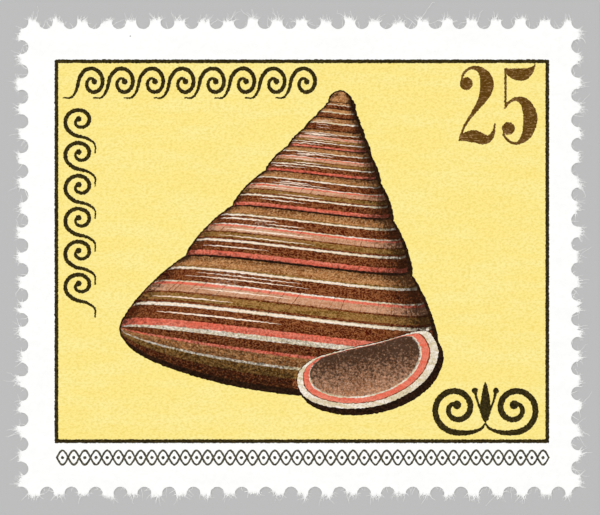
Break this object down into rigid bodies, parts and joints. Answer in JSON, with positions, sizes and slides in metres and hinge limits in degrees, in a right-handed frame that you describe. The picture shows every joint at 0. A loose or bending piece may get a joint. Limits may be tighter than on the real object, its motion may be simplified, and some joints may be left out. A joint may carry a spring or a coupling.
{
  "type": "postage stamp",
  "caption": "Flat perforated postage stamp: a small oblong sheet of gummed paper with torn, notched edges and a framed colour print on its face, lying on its back.",
  "frame": {"origin": "middle of the gummed back, on the surface that it lies on", "axes": "+Z out of the printed face, +X along the long side to the right of the print, +Y towards the top of the print"},
  "size_m": [0.0338, 0.0288, 0.0001],
  "materials": {
    "paper": "white gummed paper with a matt multicolour print on its face and a faint gloss of gum on its back"
  },
  "bodies": {
    "root": {"stamp_sheet": "paper"}
  },
  "joints": []
}
